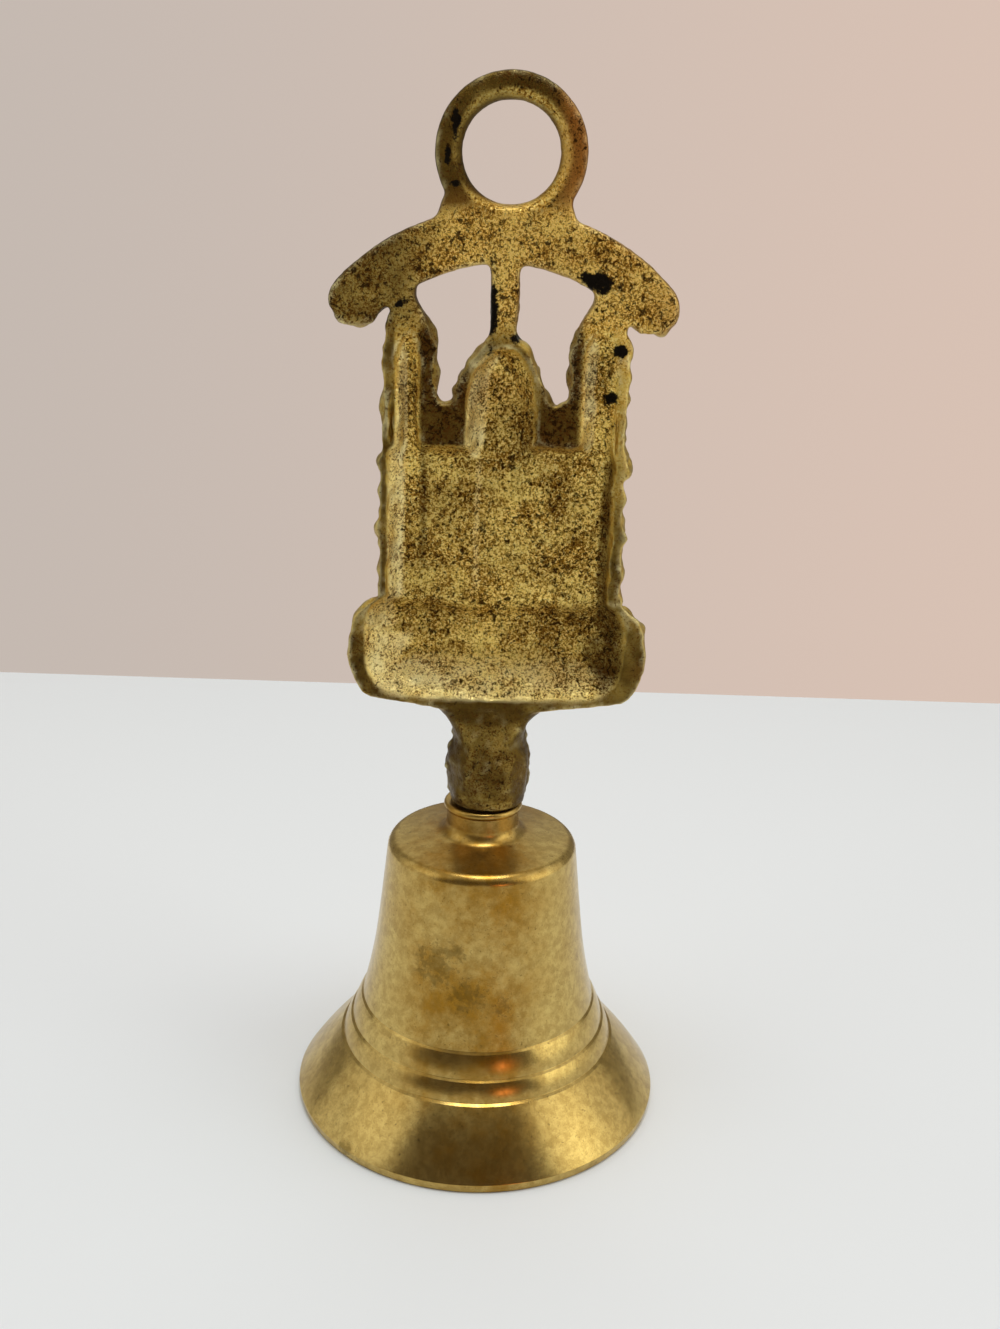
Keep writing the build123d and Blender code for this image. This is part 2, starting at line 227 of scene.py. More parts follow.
class ShaderGroup:
    """A shader node group with named inputs and outputs, built once.

    Args:
        name: The group's name.
        inputs: Name and default of each number that it takes.
        outputs: Names of the numbers that it gives.
    """

    def __init__(self, name: str, inputs: dict[str, float], outputs: Sequence[str]) -> None:
        self.tree = bpy.data.node_groups.new(name, "ShaderNodeTree")
        face = self.tree.interface
        face.new_socket("Vector", in_out="INPUT", socket_type="NodeSocketVector")
        for title, default in inputs.items():
            socket = face.new_socket(title, in_out="INPUT", socket_type="NodeSocketFloat")
            socket.default_value = default
        for title in outputs:
            face.new_socket(title, in_out="OUTPUT", socket_type="NodeSocketFloat")
        self.build = Tree(self.tree)
        self.inside = self.build.node("NodeGroupInput").outputs
        self.result = self.build.node("NodeGroupOutput").inputs

    def used(self, tree: Tree, vector: object, **values: object) -> bpy.types.Node:
        """Places the group in a material.

        Args:
            tree: The material's tree.
            vector: The coordinates that it reads.
            values: Its inputs, with underscores for spaces.

        Returns:
            The group's node.
        """
        made = tree.node("ShaderNodeGroup", node_tree=self.tree)
        tree.feed(made.inputs["Vector"], vector)
        for name, value in values.items():
            tree.feed(made.inputs[name.replace("_", " ")], value)
        return made


def mottle_group() -> ShaderGroup:
    """Cloudy tarnish: large soft patches broken up by finer ones."""
    group = ShaderGroup("Tarnish mottle", {"Scale": 120.0, "Contrast": 0.16}, ["Mask"])
    build, inside = group.build, group.inside
    broad, fine = (build.noise(inside["Vector"], build.times(inside["Scale"], factor), 8.0, 0.66)
                   for factor in (1.0, 5.3))
    mixed = build.weighed(broad, 0.68, fine, 0.32)
    build.link(build.edge(mixed, 0.5, inside["Contrast"]), group.result["Mask"])
    return group


def spot_group() -> ShaderGroup:
    """Blotch with a ragged edge round one place on the piece."""
    group = ShaderGroup("Ragged spot", {"X": 0.0, "Y": 0.0, "Z": 0.0, "Radius": 0.002, "Raggedness": 0.5},
                        ["Mask"])
    build, inside = group.build, group.inside
    centre = build.node("ShaderNodeCombineXYZ")
    for axis in "XYZ":
        build.link(inside[axis], centre.inputs[axis])
    away = build.node("ShaderNodeVectorMath", operation="DISTANCE")
    build.link(inside["Vector"], away.inputs[0])
    build.link(centre.outputs[0], away.inputs[1])
    grain = build.noise(inside["Vector"], 900.0, 6.0, 0.7)
    shift = build.times(build.math("SUBTRACT", grain, 0.5), inside["Raggedness"])
    reach = build.math("ADD", build.math("DIVIDE", away.outputs["Value"], inside["Radius"]),
                       build.times(shift, 4.0))
    build.link(build.range(reach, 1.15, 0.35), group.result["Mask"])
    return group


def pit_group() -> ShaderGroup:
    """Dense ragged pits, as sand leaves in a casting."""
    group = ShaderGroup("Sand pits", {"Scale": 1000.0, "Density": 0.5, "Softness": 0.05},
                        ["Pits", "Height"])
    build, inside = group.build, group.inside
    grain = build.noise(inside["Vector"], inside["Scale"], 4.0, 0.68, 0.7)
    level = build.math("ADD", 0.34, build.times(inside["Density"], 0.28))
    pits = build.edge(grain, level, inside["Softness"], 1.0, 0.0)
    build.link(pits, group.result["Pits"])
    build.link(build.math("SUBTRACT", grain, build.times(pits, 0.35)), group.result["Height"])
    return group


@dataclass(frozen=True)
class SharedGroups:
    """Shader groups that the finishes use, each built once."""

    mottle: ShaderGroup = field(default_factory=mottle_group)
    spot: ShaderGroup = field(default_factory=spot_group)
    pits: ShaderGroup = field(default_factory=pit_group)

    def patches(self, metal: MetalSurface, scale: float, contrast: float) -> Socket:
        """Cloudy mask on a metal, by its patches a metre and its contrast."""
        made = self.mottle.used(metal.tree, metal.place, Scale=scale, Contrast=contrast)
        return made.outputs["Mask"]


class MetalSurface:
    """A metal material while it is being made.

    Args:
        slot: The slot that it is made for, which names it.
    """

    def __init__(self, slot: Slot) -> None:
        self.material = bpy.data.materials.new(slot.value)
        self.material.use_nodes = True
        self.tree = Tree(self.material.node_tree)
        self.place = self.tree.node("ShaderNodeTexCoord").outputs["Object"]

    def finished(self, colour: Socket, roughness: Socket, height: Socket, strength: float,
                 depth: float) -> Material:
        """Feeds the surface.

        Args:
            colour: Base colour.
            roughness: Roughness.
            height: Height of the relief, 0 to 1.
            strength: Strength of the relief.
            depth: What a height of one means, in millimetres.

        Returns:
            The material.
        """
        tree = self.tree
        surface = self.material.node_tree.nodes["Principled BSDF"].inputs
        surface["Metallic"].default_value = 1.0
        tree.link(colour, surface["Base Color"])
        tree.link(roughness, surface["Roughness"])
        bump = tree.node("ShaderNodeBump")
        bump.inputs["Strength"].default_value = strength
        bump.inputs["Distance"].default_value = depth * MM
        tree.link(height, bump.inputs["Height"])
        tree.link(bump.outputs["Normal"], surface["Normal"])
        return self.material


@dataclass(frozen=True)
class Blotch:
    """Dark spot on the turned brass, in millimetres."""

    x: float
    y: float
    z: float
    radius: float


@dataclass(frozen=True)
class TurnedBrass:
    """Satin lathe-turned brass with golden-brown tarnish, darkened down its middle by painted shade of a dim
    reflection.
    """

    pale: Colour = srgb(214, 188, 116)
    golden: Colour = srgb(163, 119, 38)
    speck: Colour = srgb(134, 102, 42)
    dot: Colour = srgb(84, 62, 26)
    blotch: Colour = srgb(90, 72, 26)
    patch_scale: float = 85.0
    speck_scale: float = 760.0
    dot_scale: float = 2300.0
    lathe_scale: float = 5200.0
    raggedness: float = 1.3
    shaded_middle_x: float = -1.0
    shaded_middle_half: Point = (5.0, 12.5)
    crown_edge: Point = (40.5, 42.5)
    crown_roughness: float = 0.08
    blotch_roughness: float = 0.14
    roughness: Point = (0.19, 0.27)
    blotches: tuple[Blotch, ...] = (
        Blotch(-6.2, -14.3, 28.0, 3.0),
        Blotch(-1.4, -15.9, 24.2, 2.4),
        Blotch(-3.6, -15.0, 30.5, 1.8),
        Blotch(3.6, -15.6, 22.6, 1.3),
        Blotch(-18.2, -20.4, 1.2, 1.3),
    )

    def blotched(self, metal: MetalSurface, groups: SharedGroups) -> Socket:
        """Mask of all the dark spots."""
        dark = None
        for blotch in self.blotches:
            spot = groups.spot.used(metal.tree, metal.place, X=blotch.x * MM, Y=blotch.y * MM,
                                    Z=blotch.z * MM, Radius=blotch.radius * MM,
                                    Raggedness=self.raggedness).outputs["Mask"]
            dark = spot if dark is None else metal.tree.math("MAXIMUM", dark, spot)
        return dark

    def build(self, groups: SharedGroups) -> Material:
        """Makes the material from the shared groups."""
        metal = MetalSurface(Slot.TURNED)
        tree, place = metal.tree, metal.place
        patches = groups.patches(metal, self.patch_scale, 0.13)
        specks = groups.patches(metal, self.speck_scale, 0.1)
        axes = tree.node("ShaderNodeSeparateXYZ")
        tree.link(place, axes.inputs[0])
        # Painted shade: the tarnish colour is strongest in a band down the middle, a painted dim reflection.
        across = tree.math("ABSOLUTE", tree.math("ADD", axes.outputs["X"], -self.shaded_middle_x * MM))
        inner, outer = self.shaded_middle_half
        middle = tree.range(across, outer * MM, inner * MM, 0.3, 1.0)
        tarnish_and_shade = tree.times(tree.math("ADD", tree.times(patches, 0.75), 0.25), middle)
        colour = tree.mix(tarnish_and_shade, self.pale, self.golden)
        dots = groups.pits.used(tree, place, Scale=self.dot_scale, Density=0.06, Softness=0.03)
        dark = self.blotched(metal, groups)
        for mask, share, over in ((specks, 0.45, self.speck), (dots.outputs["Pits"], 0.6, self.dot),
                                  (dark, 0.42, self.blotch)):
            colour = tree.mix(tree.times(mask, share), colour, over)
        rough = tree.math("ADD", tree.range(patches, 0.0, 1.0, *self.roughness),
                          tree.times(dark, self.blotch_roughness))
        low, high = self.crown_edge
        crown = tree.range(axes.outputs["Z"], low * MM, high * MM, 0.0, self.crown_roughness)
        lathe = tree.noise(axes.outputs["Z"], self.lathe_scale, 2.0)
        height = tree.weighed(lathe, 0.4, specks, 0.6)
        return metal.finished(colour, tree.math("ADD", rough, crown), height, 0.15, 0.01)


@dataclass(frozen=True)
class CastBrass:
    """Rough sand-cast brass: bright where rubbed, pitted dark, olive on its edges, with painted glints,
    light and shade.

    It reads the masks of the handle's wear and of its painted light and shade, which the mesh carries.
    """

    bright: tuple[Colour, Colour] = (srgb(255, 224, 118), srgb(234, 178, 66))
    dull: tuple[Colour, Colour] = (srgb(104, 82, 33), srgb(70, 52, 19))
    glint: Colour = srgb(255, 234, 146)
    worn_and_lit: Colour = srgb(240, 228, 170)
    copper: Colour = srgb(206, 128, 56)
    fine_pit: Colour = srgb(92, 56, 18)
    deep_pit: Colour = srgb(44, 25, 8)
    stain: Colour = srgb(24, 20, 15)
    cloud_scale: float = 170.0
    fine_scale: float = 3100.0
    coarse_scale: float = 1700.0
    tear_scale: float = 1100.0
    stain_edge: Point = (1.48, 1.78)
    density: float = 0.32
    coarse_less: float = 0.16

    def build(self, groups: SharedGroups) -> Material:
        """Makes the material from the shared groups."""
        metal = MetalSurface(Slot.CAST)
        tree, place = metal.tree, metal.place
        tarnish_and_shade, stain, copper, smoothness_and_light, worn_and_lit = (
            tree.node("ShaderNodeAttribute", attribute_name=name).outputs["Fac"] for name in WEAR_AND_LIGHT)
        cloud = groups.patches(metal, self.cloud_scale, 0.16)
        density = tree.math("ADD", tree.weighed(cloud, 0.34, tarnish_and_shade, 0.06), self.density)
        density = tree.math("SUBTRACT", density, tree.times(smoothness_and_light, 0.5))
        fine = groups.pits.used(tree, place, Scale=self.fine_scale, Density=density, Softness=0.08).outputs
        density = tree.math("SUBTRACT", density, self.coarse_less)
        coarse = groups.pits.used(tree, place, Scale=self.coarse_scale, Density=density,
                                  Softness=0.05).outputs
        glint = tree.times(tree.range(fine["Height"], 0.5, 0.6), 0.8)
        bright = tree.mix(glint, tree.mix(cloud, *self.bright), self.glint)
        # The tarnish mask also carries painted shade, and the worn mask carries painted light and
        # highlights.
        colour = tree.mix(tarnish_and_shade, bright, tree.mix(cloud, *self.dull))
        for mask, share, over in ((worn_and_lit, 0.85, self.worn_and_lit), (copper, 0.65, self.copper),
                                  (fine["Pits"], 0.85, self.fine_pit), (coarse["Pits"], 0.9, self.deep_pit)):
            colour = tree.mix(tree.times(mask, share), colour, over)
        torn = tree.math("ADD", stain, tree.times(tree.noise(place, self.tear_scale, 6.0, 0.75), 2.2))
        colour = tree.mix(tree.range(torn, *self.stain_edge), colour, self.stain)
        pits = tree.math("MAXIMUM", fine["Pits"], coarse["Pits"])
        rough = tree.math("ADD", tree.times(pits, 0.35), 0.3)
        rough = tree.math("ADD!", rough, tree.times(tarnish_and_shade, 0.06))
        height = tree.weighed(fine["Height"], 0.6, coarse["Height"], 0.4)
        return metal.finished(colour, rough, height, 0.9, 0.16)


@dataclass(frozen=True)
class MottledMetal:
    """Plain metal with cloudy patches of a second colour, which are also its relief."""

    slot: Slot
    clean: Colour
    patch: Colour
    share: float
    scale: float
    contrast: float
    roughness: Point
    depth: float

    def build(self, groups: SharedGroups) -> Material:
        """Makes the material from the shared groups."""
        metal = MetalSurface(self.slot)
        tree = metal.tree
        patches = groups.patches(metal, self.scale, self.contrast)
        colour = tree.mix(tree.times(patches, self.share), self.clean, self.patch)
        rough = tree.range(patches, 0.0, 1.0, *self.roughness)
        return metal.finished(colour, rough, patches, 0.4, self.depth)


PLAIN_STEEL = MottledMetal(Slot.STEEL, srgb(150, 146, 138), srgb(104, 84, 62), share=0.7, scale=420.0,
                           contrast=0.12, roughness=(0.3, 0.55), depth=0.02)
BALL_BRASS = MottledMetal(Slot.BALL, srgb(178, 140, 70), srgb(128, 92, 42), share=1.0, scale=260.0,
                          contrast=0.15, roughness=(0.3, 0.5), depth=0.03)


# Objects and meshes


def placed(name: str, data: object) -> Object:
    """Puts a mesh, lamp or camera into the scene as an object of that name."""
    made = bpy.data.objects.new(name, data)
    bpy.context.scene.collection.objects.link(made)
    return made


def baked(holder: Object) -> Mesh:
    """Mesh that an object's modifiers give; the object itself goes."""
    bpy.context.view_layer.update()
    graph = bpy.context.evaluated_depsgraph_get()
    made = bpy.data.meshes.new_from_object(holder.evaluated_get(graph))
    bpy.data.objects.remove(holder)
    return made


def merged(mesh: Mesh, distance: float, outwards: bool = False) -> Mesh:
    """Joins vertices that lie together.

    Args:
        mesh: The mesh, which is changed.
        distance: How near they lie, in metres.
        outwards: Whether every face of the closed mesh is turned outwards too.

    Returns:
        The same mesh.
    """
    work = bmesh.new()
    work.from_mesh(mesh)
    bmesh.ops.remove_doubles(work, verts=work.verts, dist=distance)
    if outwards:
        bmesh.ops.recalc_face_normals(work, faces=work.faces)
    work.to_mesh(mesh)
    work.free()
    mesh.update()
    return mesh


# Turned and bent pieces, made by one Geometry Nodes tree


class SpinTree:
    """Geometry Nodes tree that spins a closed profile about the Z axis."""

    def __init__(self) -> None:
        self.tree = bpy.data.node_groups.new("Spin a profile", "GeometryNodeTree")
        face = self.tree.interface
        face.new_socket("Geometry", in_out="INPUT", socket_type="NodeSocketGeometry")
        sizes = (("Segments", "NodeSocketInt"), ("Path Radius", "NodeSocketFloat"),
                 ("Material", "NodeSocketMaterial"))
        self.keys = {
            title: face.new_socket(title, in_out="INPUT", socket_type=kind).identifier
            for title, kind in sizes
        }
        face.new_socket("Geometry", in_out="OUTPUT", socket_type="NodeSocketGeometry")
        build = Tree(self.tree)
        inside = build.node("NodeGroupInput").outputs
        circle = build.node("GeometryNodeCurvePrimitiveCircle")
        profile = build.node("GeometryNodeMeshToCurve")
        sweep = build.node("GeometryNodeCurveToMesh")
        shade = build.node("GeometryNodeSetShadeSmooth")
        real = build.node("GeometryNodeRealizeInstances")
        paint = build.node("GeometryNodeSetMaterial")
        result = build.node("NodeGroupOutput").inputs
        build.link(inside["Segments"], circle.inputs["Resolution"])
        build.link(inside["Path Radius"], circle.inputs["Radius"])
        build.link(inside["Geometry"], profile.inputs[0])
        build.link(circle.outputs["Curve"], sweep.inputs["Curve"])
        build.link(profile.outputs[0], sweep.inputs["Profile Curve"])
        build.link(sweep.outputs[0], shade.inputs[0])
        build.link(shade.outputs[0], real.inputs[0])
        build.link(real.outputs[0], paint.inputs[0])
        build.link(inside["Material"], paint.inputs["Material"])
        build.link(paint.outputs[0], result[0])

    def spin(self, name: str, loop: Sequence[Point], material: Material,
             segments: int, turn: Matrix = Matrix.Identity(4)) -> Object:
        """Spins a closed loop of (radius, height) points into a finished mesh.

        Args:
            name: The piece's name.
            loop: The profile, in millimetres, which never touches the axis.
            material: Its finish.
            segments: Facets round the axis.
            turn: How the spun piece is placed, in metres.

        Returns:
            A mesh object at the origin with its place in its mesh.
        """
        path = max(radius for radius, _ in loop) * 2
        mesh = bpy.data.meshes.new(name + "_profile")
        points = [((radius - path) * MM, -height * MM, 0.0) for radius, height in loop]
        count = len(points)
        mesh.from_pydata(points, [(i, (i + 1) % count) for i in range(count)], [])
        source = placed(name + "_profile", mesh)
        modifier = source.modifiers.new("Spin", "NODES")
        modifier.node_group = self.tree
        modifier[self.keys["Segments"]] = segments
        modifier[self.keys["Path Radius"]] = path * MM
        modifier[self.keys["Material"]] = material
        made = baked(source)
        made.name = name
        bpy.data.meshes.remove(mesh)
        made.transform(turn)
        return placed(name, merged(made, 1e-7, outwards=True))


def rounded(corners: Sequence[Corner], steps: int = 5) -> list[Point]:
    """Closed outline with each corner rounded.

    Args:
        corners: Radius, height and rounding of each corner, in millimetres.
        steps: Stretches in each rounding.

    Returns:
        The points of the outline.
    """
    points: list[Point] = []
    count = len(corners)
    for index, (x, z, size) in enumerate(corners):
        here = Vector((x, z))
        back = Vector(corners[index - 1][:2]) - here
        ahead = Vector(corners[(index + 1) % count][:2]) - here
        if size <= 0.0:
            points.append((x, z))
            continue
        half = back.angle(ahead) / 2
        reach = min(size / math.tan(half), 0.48 * back.length, 0.48 * ahead.length)
        start = here + back.normalized() * reach
        end = here + ahead.normalized() * reach
        for step in range(steps + 1):
            t = step / steps
            point = start * (1 - t) ** 2 + here * 2 * t * (1 - t) + end * t * t
            points.append((point.x, point.y))
    return points


def curve_through(points: Sequence[Point], steps: int = 8) -> list[Point]:
    """Smooth curve through points, by a Catmull-Rom spline.

    Args:
        points: The points, ends included.
        steps: Stretches between two points.

    Returns:
        The points of the curve without its two ends.
    """
    ends = [points[0], *points, points[-1]]
    made: list[Point] = []
    for index in range(1, len(ends) - 2):
        p0, p1, p2, p3 = (np.array(ends[index + k]) for k in (-1, 0, 1, 2))
        for step in range(steps):
            t = step / steps
            point = 0.5 * (2 * p1 + (p2 - p0) * t + (2 * p0 - 5 * p1 + 4 * p2 - p3) * t**2
                           + (3 * p1 - p0 - 3 * p2 + p3) * t**3)
            made.append((float(point[0]), float(point[1])))
    return made[1:]


@dataclass(frozen=True)
class TurnedBell:
    """The bell: stepped bands, waist, round shoulder, cove, collar and bead."""

    rim: float = 27.5
    rim_bevel: float = 0.3
    rim_band: float = 1.3
    rim_land: float = 2.2
    step: Point = (20.95, 9.5)
    lower_foot: Point = (20.5, 9.75)
    lower_edge: Point = (19.45, 12.4)
    upper_foot: Point = (19.1, 12.65)
    upper_edge: Point = (17.85, 15.95)
    band_bow: float = 0.14
    flare_bow: float = 0.25
    waist: tuple[Point, ...] = ((17.55, 16.25), (16.27, 22.0), (15.34, 28.0), (13.95, 40.5))
    face_edge: Point = (12.5, 42.0)
    cove_foot: Point = (6.8, 42.95)
    cove_top: float = 44.75
    collar: float = 5.3
    bead: float = 5.74
    bead_bottom: float = 46.7
    top: float = 47.8
    seat: Point = (4.6, 47.4)
    hole: float = 2.65
    ceiling: float = 40.0
    wall: float = 2.0
    bow_inner: Point = (18.55, 9.0)
    edge_round: float = 0.1
    segments: int = 220

    def bead_points(self) -> list[Point]:
        """Half-round bead at the top of the collar."""
        middle = (self.bead_bottom + self.top) / 2
        tall = (self.top - self.bead_bottom) / 2
        out = self.bead - self.collar
        angles = [math.pi * (k / 10 - 0.5) for k in range(1, 10)]
        return [(self.collar + out * math.cos(a), middle + tall * math.sin(a)) for a in angles]

    @staticmethod
    def sharp(points: Sequence[Point]) -> list[Corner]:
        """The same points as corners without a rounding."""
        return [(x, z, 0.0) for x, z in points]

    @staticmethod
    def bowed(start: Point, end: Point, bow: float, steps: int = 9) -> list[Corner]:
        """Points between two ends of a shallow curve that bulges outwards.

        Args:
            start: Lower end.
            end: Upper end.
            bow: How far the middle stands out.
            steps: Stretches.

        Returns:
            The points without the ends, unrounded.
        """
        length = math.hypot(end[0] - start[0], end[1] - start[1])
        out = ((end[1] - start[1]) / length, (start[0] - end[0]) / length)
        made = []
        for step in range(1, steps):
            t = step / steps
            lift = 4 * bow * t * (1 - t)
            made.append((start[0] + (end[0] - start[0]) * t + out[0] * lift,
                         start[1] + (end[1] - start[1]) * t + out[1] * lift, 0.0))
        return made

    @staticmethod
    def bent(start: Point, corner: Point, end: Point, steps: int = 12) -> list[Corner]:
        """Points of a round corner, both ends included, unrounded."""
        made = []
        for angle in (math.pi / 2 * step / steps for step in range(steps + 1)):
            a, b = 1 - math.sin(angle), 1 - math.cos(angle)
            made.append((corner[0] + (start[0] - corner[0]) * a + (end[0] - corner[0]) * b,
                         corner[1] + (start[1] - corner[1]) * a + (end[1] - corner[1]) * b, 0.0))
        return made

    def profile(self) -> list[Point]:
        """Closed profile of the casting, from the rim up the outside and down the inside."""
        small = self.edge_round
        brow = (self.rim, self.rim_band)
        outside = [
            (self.rim - self.rim_bevel - self.rim_land, 0.0, 0.22),
            (self.rim - self.rim_bevel / 2, 0.0, 0.35),
            (*brow, 0.3),
            *self.bowed(brow, self.step, self.flare_bow, 24)[2:],
            (*self.step, small),
            (*self.lower_foot, small),
            *self.bowed(self.lower_foot, self.lower_edge, self.band_bow),
            (*self.lower_edge, small),
            (*self.upper_foot, small),
            *self.bowed(self.upper_foot, self.upper_edge, self.band_bow),
            (*self.upper_edge, small),
            (*self.waist[0], small),
        ]
        waist = self.sharp(curve_through(self.waist))
        shoulder = self.bent(self.waist[-1], (self.waist[-1][0] - 0.15, self.face_edge[1] - 0.1),
                             self.face_edge)
        slope = (self.cove_foot[1] - self.face_edge[1]) / (self.face_edge[0] - self.cove_foot[0])
        meet = (self.collar, self.cove_foot[1] + slope * (self.cove_foot[0] - self.collar))
        cove = self.bent(self.cove_foot, meet, (self.collar, self.cove_top))
        crown_inner = self.waist[-1][0] - self.wall
        inner = [(x - self.wall, z) for x, z in self.waist[:-1]] + [(crown_inner, self.ceiling - 2.4)]
        inside = self.sharp(curve_through((self.bow_inner, *inner)))
        loop = outside + waist + shoulder + cove
        loop += [
            (self.collar, self.bead_bottom, 0.1),
            *self.sharp(self.bead_points()),
            (self.collar, self.top, 0.1),
            (self.seat[0], self.top, small),
            (*self.seat, 0.1),
            (self.hole, self.seat[1], 0.2),
            (self.hole, self.ceiling, 0.2),
            (crown_inner - 0.1, self.ceiling, 2.4),
            (crown_inner, self.ceiling - 2.4, 0.0),
            *reversed(inside),
            (*self.bow_inner, 0.0),
        ]
        return rounded(loop)

    def build(self, spinner: SpinTree, finish: Material) -> Object:
        """Makes the bell.

        Args:
            spinner: The tree that spins profiles.
            finish: The turned brass.

        Returns:
            The finished piece.
        """
        piece = spinner.spin("bell_casting", self.profile(), finish, self.segments)
        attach(piece, Body.BELL.value)
        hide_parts("bell")
        return piece


# The handle, softened and roughened from its solid


def band(values: Values, start: float, full: float, still_full: float, end: float) -> Values:
    """Soft band: 1 between full and still_full, 0 before its start and after its end."""
    return smooth_step(start, full, values) * smooth_step(end, still_full, values)


def hill(*axes: tuple[Values, float, float]) -> Values:
    """Bell curve of 1 at its middle, from the values, middle and width on each axis."""
    return np.exp(-sum(((values - middle) / width) ** 2 for values, middle, width in axes))


def grain(points: Values, size: float, shift: float) -> Values:
    """Noise between about -1 and 1 at each point.

    Args:
        points: Positions in millimetres.
        size: Size of a feature, in millimetres.
        shift: Moves the pattern, so that two of one size differ.

    Returns:
        One value a point.
    """
    offset = Vector(GRAIN_SEED) * shift
    return np.array([noise.noise(Vector(p) / size + offset) for p in points])


@dataclass(frozen=True)
class BoxOutline:
    """Rectangle with round corners, in millimetres."""

    low: Point
    high: Point
    turn: float

    def inside(self, x: Values, z: Values) -> Values:
        """Distance inside it at each place, negative outside."""
        away_x, away_z = (np.abs(values - (low + high) / 2) - (high - low) / 2 + self.turn
                          for values, low, high in zip((x, z), self.low, self.high))
        outside = np.hypot(np.maximum(away_x, 0), np.maximum(away_z, 0))
        return self.turn - outside - np.minimum(np.maximum(away_x, away_z), 0)


@dataclass(frozen=True)
class Channel:
    """Hollow with a round head that runs down to the panel's foot, in millimetres.

    Half of it gets wider by spread a millimetre further down, and its floor falls by
    deeper from the head to the foot.
    """

    centre: float
    half: float
    spring: float
    tip: float
    reach: float
    spread: float = 0.0
    floor: float = 1.6
    deeper: float = 0.9
    foot: float = 72.0

    def inside(self, x: Values, z: Values) -> Values:
        """Distance inside it at each place, negative outside."""
        up = np.clip((z - self.spring) / (self.tip - self.spring), 0.0, 1.0)
        width = self.half * np.sqrt(1.0 - up * up) + self.spread * np.clip(self.spring - z, 0.0, 12.0)
        across = np.where(z < self.tip, width - np.abs(x - self.centre), self.tip - z)
        return np.minimum(across, z - self.foot)


@dataclass(frozen=True)
class Stain:
    """Dark stain on the handle, in millimetres, which may slope down to the right."""

    x: float
    z: float
    half_width: float
    half_height: float
    slope: float = 0.0


@dataclass(frozen=True)
class Relief:
    """One size of the raw casting's bumps: how high all over, and how much more on its edges."""

    size: float
    shift: float
    plain: float
    edges: float


